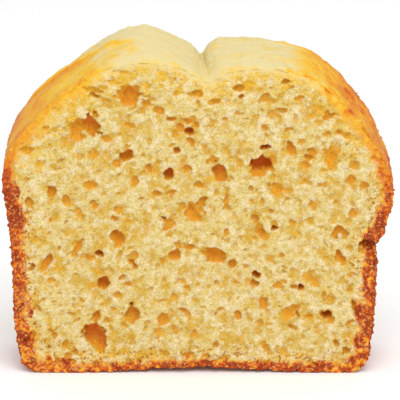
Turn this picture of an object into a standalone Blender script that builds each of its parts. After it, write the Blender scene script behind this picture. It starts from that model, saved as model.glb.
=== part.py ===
"""A thick slice of vanilla loaf cake, standing on its base, at its real size.

The slice is one solid. Its outline is a loaf's cross-section: a flat base with rounded corners, walls that
followed the tin, a bulge where the batter rose over the tin's edge, and a dome that split along the middle
into two lobes. The outline is swept through the thickness of the slice, because the lobes stand higher at
the back than at the front. The air bubbles that the knife opened are cut into both faces.

The front face looks along -Y. The origin is on the floor, under the middle of the slice.
Run it with: blender --background --python part.py
"""

import math
import random

import bmesh
import bpy
from mathutils import Matrix, Vector, noise

MM = 0.001

# Driving dimensions, in millimetres
THICKNESS = 20.0
ARCH_RISE = 1.4  # how far the middle of the base is off the floor
FOOT_INNER = 31.0  # the flat feet run from here outwards
FOOT_OUTER = 40.0
CRAG = 0.35  # how rough the baked walls are
TOP_CRAG = 0.12  # the same for the smooth top
CRAG_SIZE = 4.5
EDGE_MARGIN = 7.0  # bubbles of the back face keep this far inside the crust

SECTION_POINTS = 160
SECTIONS = 8
BUBBLE_SIDES = 10
BUBBLE_RINGS = 6
BIG_BUBBLE_SIDES = 14
BIG_BUBBLE_RINGS = 8
BIG_BUBBLE = 5.0  # a bubble as long as this is made rounder
BUBBLE_LIFT = 0.14  # how far a bubble's middle stands out of the face, as a share of its depth
BUBBLE_UNEVENNESS = 0.3
BACK_BUBBLES = 26
BACK_SEED = 11

# The outline at the front face, as (x, z) in millimetres, from the left foot round to the right one
LEFT_WALL = ((-43.2, 0.6), (-46.1, 3.2), (-47.4, 13.0), (-47.8, 27.0), (-48.5, 41.0), (-49.8, 52.6))
LEFT_SHOULDER = ((-48.4, 60.0), (-42.4, 68.2), (-34.0, 76.4))
RIGHT_SHOULDER = ((37.0, 72.9), (43.4, 64.8), (48.0, 56.4))
RIGHT_WALL = ((49.7, 50.0), (48.6, 43.4), (47.2, 37.4), (45.2, 34.4), (45.9, 30.6), (45.4, 18.0), (44.9, 9.4),
              (43.9, 3.4), (41.8, 0.7))

# The crown: left lobe, the bottom of the split, right lobe. The lobes swell from the front face to the back.
CROWN_FRONT = ((-25.0, 82.1), (-19.0, 83.9), (-12.5, 84.3), (-6.0, 83.5), (-1.0, 81.5), (2.5, 79.2),
               (5.6, 81.3), (12.0, 82.5), (20.5, 82.8), (29.4, 79.8))
CROWN_BACK = ((-25.3, 83.7), (-19.5, 87.0), (-12.5, 88.1), (-6.8, 85.8), (-2.2, 83.3), (0.5, 80.7),
              (4.0, 84.8), (10.5, 85.5), (19.0, 84.4), (29.9, 80.9))

# The bubbles that show best on the front face: x, z, width, height, depth in millimetres, and lean in degrees
FRONT_BUBBLES = (
    # under the left lobe and shoulder
    (-17.4, 75.0, 5.6, 5.4, 3.6, 0), (-26.5, 76.6, 5.2, 2.2, 1.8, 12), (-18.8, 80.6, 6.0, 1.6, 1.5, 10),
    (-30.4, 67.1, 4.4, 4.0, 2.6, 0), (-27.4, 68.4, 3.0, 4.8, 3.6, 0), (-33.4, 62.8, 5.0, 4.6, 1.3, 0),
    (-43.2, 61.2, 3.2, 2.8, 2.0, 0), (-26.3, 59.8, 2.4, 3.0, 1.2, 0), (-18.2, 59.6, 3.8, 3.0, 2.8, 0),
    (-20.6, 57.0, 2.0, 3.2, 1.6, 15), (-16.8, 52.9, 2.0, 6.0, 1.3, 0), (-7.5, 54.2, 2.4, 3.0, 3.0, 0),
    (-2.7, 55.9, 2.3, 2.4, 1.5, 0), (-9.8, 71.6, 3.3, 2.2, 1.6, 35), (-27.3, 51.5, 3.6, 3.2, 1.7, 0),
    (-37.1, 49.7, 2.3, 3.8, 2.2, 0), (-33.4, 46.8, 2.3, 3.2, 1.8, 0), (-2.9, 66.4, 4.2, 2.4, 2.2, 5),
    # under the right lobe and shoulder
    (12.7, 77.2, 3.6, 3.2, 1.5, 0), (26.2, 74.6, 3.3, 1.7, 1.5, -10), (24.7, 69.2, 2.0, 3.2, 1.0, 0),
    (16.0, 56.9, 5.6, 4.1, 5.2, 0), (15.7, 54.6, 4.6, 2.4, 2.0, 0), (23.5, 61.1, 2.4, 4.6, 1.9, -20),
    (5.7, 54.8, 3.4, 5.8, 2.7, -22), (33.9, 59.0, 3.6, 7.2, 2.6, 0), (27.4, 56.9, 2.5, 2.4, 1.5, 0),
    (40.0, 56.7, 3.1, 2.7, 1.5, 30), (20.2, 50.2, 3.3, 3.5, 2.0, 0),
    # across the middle
    (-20.5, 37.0, 3.8, 4.9, 2.8, 0), (-6.0, 32.5, 3.6, 3.5, 2.8, 0), (-31.1, 33.6, 1.9, 6.4, 1.7, 28),
    (-39.0, 29.8, 2.0, 6.2, 1.9, 35), (-24.4, 24.8, 3.1, 4.3, 3.2, 35), (-7.4, 41.0, 3.3, 3.3, 1.8, 0),
    (-1.0, 43.7, 4.4, 6.6, 2.2, -35), (-13.8, 40.0, 2.4, 6.6, 1.0, 12), (4.4, 32.4, 6.4, 4.2, 2.6, 22),
    (17.0, 37.2, 2.0, 3.5, 1.8, 0), (15.1, 27.3, 2.0, 3.2, 3.2, -20), (13.0, 25.1, 2.8, 3.0, 1.1, 0),
    (29.1, 26.4, 3.2, 6.2, 1.6, -35), (36.8, 31.2, 2.3, 4.6, 1.8, -25),
    # towards the base
    (-26.6, 10.9, 5.4, 5.0, 4.6, 0), (-25.8, 7.2, 2.3, 5.0, 2.4, -15), (-26.1, 15.4, 2.4, 2.8, 2.0, 0),
    (-16.8, 16.2, 3.3, 4.6, 2.6, 0), (-9.0, 14.5, 2.5, 3.8, 1.9, 25), (16.9, 18.7, 3.1, 4.2, 2.4, 0),
    (23.3, 16.6, 4.0, 3.8, 2.1, 25), (33.8, 15.2, 2.6, 3.0, 3.2, 0), (40.4, 17.8, 1.4, 6.6, 1.5, -15),
)


def clear_scene():
    for obj in list(bpy.data.objects):
        bpy.data.objects.remove(obj, do_unlink=True)


def new_collection(name):
    collection = bpy.data.collections.new(name)
    bpy.context.scene.collection.children.link(collection)
    return collection


def crumb_material():
    material = bpy.data.materials.new("golden_cake")
    material.use_nodes = True
    shader = material.node_tree.nodes["Principled BSDF"]
    shader.inputs["Base Color"].default_value = (0.78, 0.50, 0.17, 1.0)
    shader.inputs["Roughness"].default_value = 0.85
    shader.inputs["Metallic"].default_value = 0.0
    return material


def between(a, b, share):
    return tuple(p + (q - p) * share for p, q in zip(a, b, strict=True))


def stations_at(depth):
    """The outline's stations at a share of the way from the front face to the back one."""
    swell = depth * (2 - depth)
    crown = [between(front, back, swell) for front, back in zip(CROWN_FRONT, CROWN_BACK, strict=True)]
    return [(-FOOT_OUTER, 0.0), *LEFT_WALL, *LEFT_SHOULDER, *crown, *RIGHT_SHOULDER, *RIGHT_WALL, (FOOT_OUTER, 0.0)]


def base_points():
    """The base from the right foot back to the left one: flat feet, with a low arch between them."""
    steps = 40
    points = []
    for i in range(1, steps):
        x = FOOT_OUTER * (1 - 2 * i / steps)
        share = max(0.0, 1 - abs(x) / FOOT_INNER)
        points.append((x, ARCH_RISE * math.sin(math.pi / 2 * share) ** 2))
    return points


def smooth_curve(stations, steps=12):
    """A Catmull-Rom curve through the stations, as many short steps."""
    ends = [stations[0], *stations, stations[-1]]
    points = []
    for a, b, c, d in zip(ends, ends[1:], ends[2:], ends[3:], strict=False):
        for i in range(steps):
            t = i / steps
            points.append(tuple(
                0.5 * (2 * q + (r - p) * t + (2 * p - 5 * q + 4 * r - s) * t**2 + (3 * q - p - 3 * r + s) * t**3)
                for p, q, r, s in zip(a, b, c, d, strict=True)
            ))
    return [*points, stations[-1]]


def evenly(points, count):
    """As many points as asked for, the same distance apart, round the closed outline."""
    ring = [Vector(p) for p in points]
    ring.append(ring[0].copy())
    lengths = [(q - p).length for p, q in zip(ring, ring[1:], strict=False)]
    step = sum(lengths) / count
    placed, walked, k = [], 0.0, 0
    for i in range(count):
        while walked + lengths[k] < i * step:
            walked += lengths[k]
            k += 1
        placed.append(ring[k].lerp(ring[k + 1], (i * step - walked) / lengths[k]))
    return placed


def section(depth):
    """One outline of the slice, in metres, with the crags of the crust and feet that are exactly flat."""
    y = THICKNESS * (depth - 0.5)
    ring = evenly(smooth_curve(stations_at(depth)) + base_points(), SECTION_POINTS)
    placed = []
    for i, p in enumerate(ring):
        along = (ring[(i + 1) % SECTION_POINTS] - ring[i - 1]).normalized()
        outward = Vector((-along.y, along.x))
        rough = TOP_CRAG if p.y > 60 and abs(p.x) < 44 else CRAG
        bump = noise.noise(Vector((p.x, y, p.y)) / CRAG_SIZE) * rough
        on_foot = p.y < 0.3 and FOOT_INNER - 4 < abs(p.x) < FOOT_OUTER + 1
        x, z = (p.x, 0.0) if on_foot else (p.x + outward.x * bump, max(p.y + outward.y * bump, 0.15))
        placed.append(Vector((x, y, z)) * MM)
    return placed


def sweep_body(name, collection):
    """The slice before the knife opened its bubbles: sections joined by quads, with a face on each end."""
    mesh = bpy.data.meshes.new(name)
    bm = bmesh.new()
    rings = [[bm.verts.new(p) for p in section(k / (SECTIONS - 1))] for k in range(SECTIONS)]
    for front, back in zip(rings, rings[1:], strict=False):
        for i in range(SECTION_POINTS):
            j = (i + 1) % SECTION_POINTS
            bm.faces.new((front[i], back[i], back[j], front[j]))
    bm.faces.new(rings[0])
    bm.faces.new(reversed(rings[-1]))
    bmesh.ops.recalc_face_normals(bm, faces=bm.faces)
    bm.to_mesh(mesh)
    bm.free()
    obj = bpy.data.objects.new(name, mesh)
    collection.objects.link(obj)
    return obj


def add_bubble(bubble, face_y, inward, collection):
    """An uneven egg-shaped cutter, whose middle stands a little out of a cut face."""
    x, z, width, height, depth, lean = bubble
    big = max(width, height) >= BIG_BUBBLE
    lift = BUBBLE_LIFT * depth
    place = (
        Matrix.Translation(Vector((x, face_y - inward * lift, z)) * MM)
        @ Matrix.Rotation(math.radians(lean), 4, "Y")
        @ Matrix.Diagonal((width / 2 * MM, (depth + lift) * MM, height / 2 * MM, 1.0))
        @ Matrix.Rotation(math.pi / 2, 4, "X")
    )
    mesh = bpy.data.meshes.new("bubble")
    bm = bmesh.new()
    bmesh.ops.create_uvsphere(
        bm,
        u_segments=BIG_BUBBLE_SIDES if big else BUBBLE_SIDES,
        v_segments=BIG_BUBBLE_RINGS if big else BUBBLE_RINGS,
        radius=1.0,
    )
    for vert in bm.verts:
        vert.co *= 1 + BUBBLE_UNEVENNESS * noise.noise(vert.co * 1.3 + Vector((x, face_y, z)))
    bmesh.ops.transform(bm, matrix=place, verts=bm.verts)
    bm.to_mesh(mesh)
    bm.free()
    cutter = bpy.data.objects.new("bubble", mesh)
    cutter.hide_render = True
    cutter.display_type = "WIRE"
    collection.objects.link(cutter)


def inside(x, z, ring, margin):
    """Whether a point is this far or more inside the outline."""
    crossings = 0
    for p, q in zip(ring, ring[1:] + ring[:1], strict=True):
        if (p.y > z) != (q.y > z) and x < p.x + (z - p.y) / (q.y - p.y) * (q.x - p.x):
            crossings += 1
    return crossings % 2 == 1 and min((Vector((x, z)) - p).length for p in ring) > margin


def back_bubbles():
    """Bubbles of the back face, scattered by a seeded draw, the largest first and none touching another."""
    draw = random.Random(BACK_SEED)
    ring = evenly(smooth_curve(stations_at(1.0)) + base_points(), SECTION_POINTS)
    placed = []
    for i in range(BACK_BUBBLES):
        width = 6.0 - 3.6 * (i / BACK_BUBBLES) ** 0.6 + draw.uniform(-0.3, 0.3)
        height = width * draw.uniform(0.65, 1.5)
        for _ in range(200):
            x, z = draw.uniform(-46, 46), draw.uniform(4, 84)
            apart = all(math.dist((x, z), b[:2]) > 0.62 * (max(width, height) + max(b[2:4])) + 1 for b in placed)
            if apart and inside(x, z, ring, EDGE_MARGIN):
                placed.append((x, z, width, height, width * draw.uniform(0.45, 0.8), draw.uniform(-40, 40)))
                break
    return placed


def open_bubbles(slice_body):
    """Cuts every bubble out of both faces in one Boolean, then removes the cutters."""
    cutters = new_collection("bubbles")
    for bubble in FRONT_BUBBLES:
        add_bubble(bubble, -THICKNESS / 2, 1, cutters)
    for bubble in back_bubbles():
        add_bubble(bubble, THICKNESS / 2, -1, cutters)
    cut = slice_body.modifiers.new("bubbles", "BOOLEAN")
    cut.operation = "DIFFERENCE"
    cut.operand_type = "COLLECTION"
    cut.collection = cutters
    cut.solver = "EXACT"
    bpy.context.view_layer.objects.active = slice_body
    bpy.ops.object.modifier_apply(modifier=cut.name)
    for cutter in list(cutters.objects):
        bpy.data.objects.remove(cutter, do_unlink=True)
    bpy.data.collections.remove(cutters)


def centre_on_origin(obj):
    """Puts the middle of the slice's box over the origin, with its feet on the floor."""
    xs = [v.co.x for v in obj.data.vertices]
    ys = [v.co.y for v in obj.data.vertices]
    lowest = min(v.co.z for v in obj.data.vertices)
    shift = Vector(((max(xs) + min(xs)) / -2, (max(ys) + min(ys)) / -2, -lowest))
    obj.data.transform(Matrix.Translation(shift))


def main():
    clear_scene()
    cake = new_collection("vanilla_cake")
    slice_body = sweep_body("cake_slice", cake)
    open_bubbles(slice_body)
    centre_on_origin(slice_body)
    slice_body.data.materials.clear()
    slice_body.data.materials.append(crumb_material())
    slice_body.data.shade_smooth()
    slice_body.data.set_sharp_from_angle(angle=math.radians(40))


main()
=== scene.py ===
"""Finishes a slice of vanilla loaf cake: open crumb, baked crust, loose crumbs and a pale stage.

The slice's outline is read from the solid at several depths. Two fine grids are fitted into the outline as
the cut faces, and a strip runs round it as the crust. The three share their edges exactly. Air bubbles are
pressed into the cut faces, and the crust gets its crags, its split and its ledge. How deep a bubble is, how
close to the crust a point lies and how browned it is are kept on the surface for the finishes to read.
"""

import itertools
import math

import bmesh
import bpy
import numpy as np
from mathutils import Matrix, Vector
from mathutils.bvhtree import BVHTree
from mathutils.kdtree import KDTree


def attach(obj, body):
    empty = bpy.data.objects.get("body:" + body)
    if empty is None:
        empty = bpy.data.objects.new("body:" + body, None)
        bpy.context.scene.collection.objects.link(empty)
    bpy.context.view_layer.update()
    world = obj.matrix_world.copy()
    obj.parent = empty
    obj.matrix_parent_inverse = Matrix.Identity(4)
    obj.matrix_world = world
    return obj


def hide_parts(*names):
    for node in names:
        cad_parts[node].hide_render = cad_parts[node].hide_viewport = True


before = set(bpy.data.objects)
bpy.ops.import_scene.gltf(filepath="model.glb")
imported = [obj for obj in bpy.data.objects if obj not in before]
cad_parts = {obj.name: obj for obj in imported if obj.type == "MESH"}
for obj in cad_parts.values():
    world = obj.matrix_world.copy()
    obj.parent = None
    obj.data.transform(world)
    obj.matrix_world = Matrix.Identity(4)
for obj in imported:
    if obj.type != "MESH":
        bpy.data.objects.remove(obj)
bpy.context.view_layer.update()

bl_info = {
    "name": "Vanilla Loaf Cake Slice",
    "version": (1, 0, 0),
    "blender": (4, 5, 0),
    "location": "3D View > Sidebar > Cake",
    "description": "Open crumb, baked crust and loose crumbs for a slice of vanilla loaf cake",
    "category": "Object",
}

NODE = "cake_slice"
MM = 0.001
HALF = 10.0  # half of the slice's thickness, mm
MIDDLE = (0.0, 44.0)  # a point in the middle of the cut face, x and z in mm
CORNERS = ((-46.0, 1.0), (45.0, 1.0), (39.5, 70.5), (-40.5, 70.5))  # where the outline's four sides meet
ACROSS = 324  # cells of a cut face from left to right
UP = 268  # cells of a cut face from base to crown
DEEP = 70  # cells of the crust from the front face to the back one
CUTS = 8  # depths at which the solid's outline is read
LOOP_STEPS = 1400  # even steps round an outline, before its sides are told apart
ROW_PASSES = 30  # how often the outline is evened out from row to row
FILL_PASSES = 60  # how often the grid inside an outline is evened out
CUT_INSET = 0.05  # how far inside the faces the outermost outlines are read, mm
ROUND_EDGE = 0.6  # how far the knife's edge is rounded on the soft crown, mm
FACE_TUCK = (0.96, 0.3, 0.96)  # how a cut face's hidden edge is drawn in along x, y and z
CRUST_TUCK = (0.96, 0.8, 0.96)  # the same for the crust
TEXTURE_ROWS = 4  # rows that the crust's long strip of texture is folded into
COLOUR_A, COLOUR_B, COLOUR_OUT = 6, 7, 2  # the sockets of a Mix node that mixes colours
RASTER = 0.1  # mm between the samples of a bubble map
RASTER_BOX = (-53.0, -3.0, 53.0, 92.0)  # left, bottom, right and top of a bubble map, mm
SMALL_DEPTH = 0.95  # depth of a scattered bubble, as a share of a round one
DEEPEST = 8.0  # the most that a bubble of the solid counts for, mm
# Painted shade: the darkest grains of crumb are darkened towards this
DIM_SHADE = (0.68, 0.6, 0.42)  # what the darkest grains of crumb are dimmed to
DISTANCE = 0.8  # from the camera to the cut face by default, m
LENS = 282.96  # the camera's focal length at that distance, mm
CAMERA_AIM = (0.00051, -HALF * MM, 0.04776)  # what the camera looks at, m
KEY_PLACE = (0.12, -0.6, 1.05)  # where the large soft light hangs, m
KEY_AIM = (0.0, 0.0, 0.045)  # what it points at, m

# Seeds of the noise and of the scattering
LATTICE = 32  # points of the noise's lattice along each side
BAKE_SEED = 5  # the crust's shape and how browned it is
FRINGE_SEED = 6  # the golden fringe of the crown
FRONT_SEED, BACK_SEED = 21, 57  # the bubbles of the two cut faces
BIT_SEED, BIT_SHAPE_SEED = 91, 17  # where the loose crumbs lie, and their bumps

# Caught spots by the rim of the front face: x, z, width and height in mm
CAUGHT = (
    (-46.4, 42.5, 3.0, 6.0), (-44.6, 10.3, 2.6, 4.6), (-46.0, 50.0, 1.2, 3.0), (-38.6, 3.6, 1.4, 2.2),
    (-34.4, 3.2, 2.2, 1.6), (-43.0, 16.5, 1.2, 2.6), (44.6, 37.0, 5.4, 4.6), (41.2, 17.0, 1.6, 5.0),
    (41.6, 9.0, 1.6, 3.0), (40.2, 3.6, 1.6, 1.8), (46.9, 42.4, 2.2, 5.6), (38.9, 48.2, 1.2, 1.6),
    (43.0, 27.0, 1.4, 3.6), (45.6, 30.4, 1.8, 5.0), (-2.4, 4.6, 1.4, 1.2), (38.6, 71.2, 2.4, 1.2),
)

# Flakes that stand up on the crown: x, y, width and height in mm
FLAKES = (
    (-13.6, 8.6, 1.1, 0.4), (21.8, 9.2, 0.9, 0.4), (-25.0, 7.4, 0.6, 0.4), (5.4, 8.8, 0.7, 0.5),
    (34.0, 4.0, 1.0, 0.5), (-17.6, 9.0, 0.5, 0.4),
)

# Bubbles of the front face: x, z, width, height, depth in mm, lean in degrees
FRONT_BUBBLES = (
    # left lobe and shoulder
    (-17.4, 75.0, 5.6, 5.4, 3.0, 0), (-26.5, 76.9, 5.1, 2.0, 1.7, 12), (-23.4, 77.6, 3.0, 1.4, 1.2, 14),
    (-18.8, 81.4, 6.1, 1.6, 1.3, 10), (-30.4, 67.0, 5.0, 4.3, 2.4, 0), (-26.9, 67.6, 3.6, 5.6, 3.4, -8),
    (-33.0, 63.4, 5.6, 5.4, 1.2, 0), (-30.2, 64.4, 4.4, 3.4, 1.8, 0), (-29.2, 67.3, 2.8, 3.8, 2.6, 0),
    (-26.0, 70.3, 1.5, 2.4, 2.0, -10), (-25.2, 65.6, 2.8, 1.3, 2.0, 20), (-21.2, 78.8, 4.6, 1.5, 1.2, 8),
    (-43.3, 61.2, 3.3, 2.8, 1.9, 0),
    (-26.3, 59.8, 2.3, 3.0, 1.3, 0), (-18.2, 59.5, 3.8, 3.0, 3.0, 0), (-20.5, 57.2, 2.0, 3.2, 1.5, 15),
    (-16.8, 53.2, 1.9, 6.5, 1.0, 0), (-7.5, 54.2, 2.3, 3.0, 3.6, 0), (-2.7, 55.9, 2.4, 2.5, 1.7, 0),
    (-5.6, 61.2, 1.8, 1.6, 2.2, 0), (-9.8, 71.6, 3.3, 2.2, 1.6, 35), (-4.3, 66.8, 2.5, 2.4, 1.8, 0),
    (-2.0, 66.0, 2.3, 2.2, 3.4, 0), (-0.4, 67.4, 1.4, 2.0, 1.5, -30), (-27.3, 51.5, 3.6, 3.0, 1.5, 0),
    (-37.1, 49.7, 2.3, 3.8, 2.2, 0), (-33.6, 47.0, 2.3, 3.2, 1.6, 0), (-17.2, 67.4, 3.1, 1.9, 1.4, 0),
    (0.0, 76.1, 2.3, 2.4, 2.0, 0), (-38.7, 66.8, 2.0, 1.6, 1.3, 0), (-1.3, 69.5, 1.8, 1.9, 1.3, 0),
    (-35.6, 71.4, 2.6, 1.2, 0.9, 35), (-24.3, 72.6, 2.2, 1.2, 0.9, 0), (-12.8, 78.0, 2.4, 1.6, 0.9, 20),
    (-22.2, 64.6, 2.6, 1.6, 0.8, 0), (-39.8, 57.2, 1.6, 2.6, 1.1, 10), (-12.2, 63.4, 1.8, 2.4, 0.9, 20),
    # right lobe and shoulder
    (12.7, 77.7, 3.6, 3.2, 1.3, 0), (10.6, 75.3, 1.5, 2.2, 1.9, 0), (7.1, 69.0, 1.8, 1.4, 1.3, 0),
    (10.0, 71.1, 2.0, 1.9, 1.2, 0), (26.2, 74.8, 3.3, 1.6, 1.4, -10), (32.9, 76.7, 1.1, 3.4, 1.2, -40),
    (24.7, 69.2, 2.0, 3.2, 1.0, 0), (16.9, 61.5, 2.4, 1.4, 3.4, -15), (16.0, 56.9, 5.4, 3.9, 5.6, 0),
    (15.6, 54.9, 5.0, 2.8, 2.1, 0), (23.5, 61.1, 2.3, 4.6, 1.9, -20), (5.7, 54.8, 3.3, 5.8, 2.9, -22),
    (3.6, 58.3, 2.6, 2.6, 1.4, -30), (33.9, 59.4, 3.6, 7.4, 1.9, 0), (27.4, 56.9, 2.5, 2.4, 1.4, 0),
    (40.0, 56.7, 3.1, 2.7, 1.5, 30), (42.3, 51.3, 2.3, 2.7, 1.4, 20), (20.0, 50.2, 3.3, 3.5, 1.9, 0),
    (23.1, 49.9, 3.1, 1.9, 1.2, 0), (1.5, 51.3, 2.5, 2.2, 1.2, 20), (42.7, 65.8, 2.0, 4.3, 1.4, -30),
    (37.9, 64.7, 2.0, 1.6, 1.3, 30), (16.9, 66.6, 2.0, 2.2, 1.3, 0), (38.4, 72.0, 2.6, 1.2, 1.7, -45),
    (35.2, 68.4, 1.6, 1.8, 1.0, 0), (30.6, 63.4, 2.0, 1.6, 0.9, 0), (11.6, 63.2, 1.6, 2.2, 0.8, 0),
    # across the middle
    (-20.5, 37.0, 3.8, 4.9, 2.6, 0), (-25.4, 32.8, 2.0, 1.8, 3.0, 0), (-27.7, 31.4, 2.4, 2.4, 1.7, 0),
    (-6.0, 32.5, 3.6, 3.5, 2.3, 0), (-31.1, 33.6, 1.8, 6.5, 1.6, 28), (-39.0, 30.0, 1.9, 6.5, 2.0, 35),
    (-37.9, 25.6, 2.3, 1.9, 1.3, 0), (-24.4, 24.8, 2.9, 4.3, 3.4, 35), (-27.4, 24.0, 3.6, 2.4, 1.0, 0),
    (-29.3, 42.3, 1.8, 1.9, 1.2, 0), (-20.4, 44.8, 2.3, 1.9, 1.3, 0), (-7.4, 41.2, 3.3, 3.4, 1.8, 0),
    (-8.4, 42.8, 1.4, 1.2, 2.7, 0), (-1.0, 43.7, 4.2, 7.0, 2.2, -40), (-13.8, 40.4, 2.5, 7.6, 0.9, 12),
    (-16.3, 32.0, 2.0, 3.0, 1.4, 30), (-19.6, 26.3, 2.3, 1.4, 1.3, -15), (4.4, 32.4, 6.2, 4.1, 2.7, 22),
    (17.0, 37.2, 2.0, 3.5, 1.3, 0), (19.3, 39.7, 2.0, 1.4, 2.8, -10), (15.1, 27.3, 2.0, 3.2, 3.3, -20),
    (7.1, 38.5, 1.5, 1.9, 1.2, 20), (4.9, 25.1, 1.8, 1.4, 1.2, 0), (9.6, 24.9, 2.0, 1.4, 1.3, 0),
    (13.0, 25.1, 2.8, 3.2, 1.0, 0), (20.6, 24.0, 2.0, 3.0, 1.3, -30), (26.4, 23.4, 1.6, 2.0, 3.0, -25),
    (29.1, 26.2, 3.4, 6.5, 1.5, -35), (36.8, 31.4, 2.3, 4.6, 2.0, -25), (43.6, 35.2, 4.4, 2.8, 3.4, 15),
    # towards the base
    (-26.1, 15.4, 2.3, 2.8, 2.1, 0), (-26.6, 10.9, 5.4, 5.0, 4.6, 0), (-25.6, 7.0, 2.3, 5.4, 2.4, -15),
    (-28.4, 12.0, 3.4, 2.8, 3.2, 0), (-24.9, 8.6, 2.6, 4.6, 3.8, 0), (-26.6, 8.2, 3.0, 3.8, 2.6, -25),
    (-16.8, 16.2, 3.3, 4.9, 2.7, 0), (-9.0, 14.5, 2.5, 3.8, 1.7, 25), (-10.0, 10.9, 3.1, 1.9, 1.1, 0),
    (-34.6, 7.5, 2.3, 2.2, 1.7, 0), (-31.5, 5.6, 1.3, 2.7, 1.6, -15), (-2.6, 5.3, 2.3, 2.2, 1.0, 0),
    (-8.3, 5.0, 2.3, 2.2, 1.1, 0), (16.9, 18.7, 3.0, 4.3, 1.8, 15), (23.3, 16.5, 4.1, 4.0, 1.9, 25),
    (5.5, 17.3, 2.5, 1.4, 1.1, -15), (33.4, 15.8, 2.3, 2.2, 5.0, 0), (34.5, 14.3, 2.0, 2.4, 1.6, 0),
    (40.4, 17.6, 1.2, 7.4, 2.0, -15), (16.8, 7.5, 2.5, 2.2, 1.1, 20), (23.7, 8.8, 2.3, 1.4, 1.0, 0),
    (2.5, 4.2, 2.3, 1.6, 0.9, 0), (35.7, 8.1, 1.3, 2.4, 1.7, -20), (29.3, 5.9, 2.5, 1.6, 0.9, 0),
    (-43.0, 9.6, 1.5, 4.8, 1.6, 10), (-36.6, 3.1, 1.6, 2.2, 1.4, 0), (-33.0, 2.8, 2.2, 1.8, 1.7, 0),
)


def from_screen(red, green, blue):
    """A colour picked on screen, 0 to 255, as the linear colour that a shader works with."""
    def linear(value):
        share = value / 255
        return share / 12.92 if share <= 0.04045 else ((share + 0.055) / 1.055) ** 2.4

    return (linear(red), linear(green), linear(blue))


def colour(label, description, red, green, blue):
    return bpy.props.FloatVectorProperty(
        name=label, description=description, subtype="COLOR", size=3, min=0.0, max=1.0,
        default=from_screen(red, green, blue),
    )


class CrumbSettings(bpy.types.PropertyGroup):
    # Painted highlight on the tips of the crumb's grain and on the lower lips of its bubbles
    bright: colour("Bright", "Tips of the crumb's grain", 232, 215, 171)
    cream: colour("Cream", "Crumb between the bubbles", 220, 197, 126)
    # Straw is partly a random tone of the crumb and partly painted shade down in shallow hollows
    straw: colour("Straw", "Moister crumb between the bubbles", 213, 184, 98)
    # Ochre, amber and ember are painted shade and a painted warm glow of light inside the bubbles, darker and
    # more orange the deeper they reach
    ochre: colour("Ochre", "Floor of a shallow bubble", 209, 167, 57)
    amber: colour("Amber", "Floor of a deep bubble", 220, 149, 36)
    ember: colour("Ember", "Floor of the deepest bubbles", 230, 126, 44)
    shade: colour("Shade", "Dark specks between the grain, which darken what they lie on", 210, 196, 170)
    # Painted shade under the overhanging upper edge of a bubble
    brow: colour("Brow", "The overhanging edge of a bubble", 212, 118, 44)
    pores: bpy.props.IntProperty(
        name="Pores", description="How many small bubbles each cut face is given", default=5200, min=0
    )
    grain: bpy.props.FloatProperty(
        name="Grain", description="Height of the crumb's fine grain", default=0.0002, min=0.0, unit="LENGTH"
    )


class CrustSettings(bpy.types.PropertyGroup):
    pale: colour("Pale", "The crown, where the batter split last", 217, 201, 145)
    golden: colour("Golden", "Lightly baked crust", 230, 184, 50)
    toasted: colour("Toasted", "The shoulders", 226, 150, 34)
    brown: colour("Brown", "The walls and the base", 199, 82, 20)
    dark: colour("Dark", "Caught spots", 148, 52, 14)
    glint: colour("Glint", "Sugar and flakes that catch the light", 239, 179, 102)
    crag: bpy.props.FloatProperty(
        name="Crag", description="How rough the baked walls are", default=0.00034, min=0.0, unit="LENGTH"
    )
    crumbs: bpy.props.IntProperty(
        name="Loose crumbs", description="How many crumbs cling to the crust", default=150, min=0
    )


class StageSettings(bpy.types.PropertyGroup):
    floor: colour("Floor", "The plain pale floor", 250, 250, 250)
    elevation: bpy.props.FloatProperty(
        name="Elevation", description="How far the camera looks down", default=math.radians(20),
        subtype="ANGLE",
    )
    distance: bpy.props.FloatProperty(
        name="Distance", description="From the camera to the cut face", default=DISTANCE, min=0.1,
        unit="LENGTH",
    )
    fill: bpy.props.FloatProperty(
        name="Fill", description="Strength of the light from all round", default=0.74
    )
    key: bpy.props.FloatProperty(name="Key", description="Power of the large soft light", default=9.0)


class Grain:
    """Smooth seeded noise from about -1 to 1."""

    def __init__(self, seed):
        self.lattice = np.random.default_rng(seed).uniform(-1, 1, (LATTICE, LATTICE, LATTICE))

    def __call__(self, x, y, z, size):
        """The noise at these points, changing over about this size."""
        place = [np.asarray(axis, float) / size + 7.31 for axis in np.broadcast_arrays(x, y, z)]
        cell = [np.floor(axis).astype(int) for axis in place]
        share = [axis - low for axis, low in zip(place, cell, strict=True)]
        share = [s * s * (3 - 2 * s) for s in share]
        total = 0.0
        for corner in itertools.product((0, 1), repeat=3):
            weight = 1.0
            for s, far in zip(share, corner, strict=True):
                weight = weight * (s if far else 1 - s)
            at = tuple((c + far) % LATTICE for c, far in zip(cell, corner, strict=True))
            total = total + weight * self.lattice[at]
        return total


def rise(value, low, high):
    """0 at low, 1 at high, smooth between them. Low may be the larger of the two."""
    share = np.clip((value - low) / (high - low), 0, 1)
    return share * share * (3 - 2 * share)


# Reading the solid


def longest_loop(bm):
    """The corner points of the longest closed loop of a cut through the solid, x and z in mm."""
    left = dict.fromkeys(bm.verts)  # in their own order, so that each run starts at the same point
    loops = []
    while left:
        here = next(iter(left))
        loop, ahead = [], [here]
        while ahead:
            here = ahead[0]
            del left[here]
            loop.append(here)
            ahead = [e.other_vert(here) for e in here.link_edges if e.other_vert(here) in left]
        loops.append(np.array([(v.co.x, v.co.z) for v in loop]) / MM)
    return max(loops, key=lambda loop: np.linalg.norm(np.diff(loop, axis=0), axis=1).sum())


def walk(points, steps):
    """This many even steps along an open line, its last point left out."""
    lengths = np.concatenate(([0], np.cumsum(np.linalg.norm(np.diff(points, axis=0), axis=1))))
    places = np.linspace(0, lengths[-1], steps + 1)[:-1]
    return np.stack([np.interp(places, lengths, points[:, k]) for k in (0, 1)], axis=1)


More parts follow.
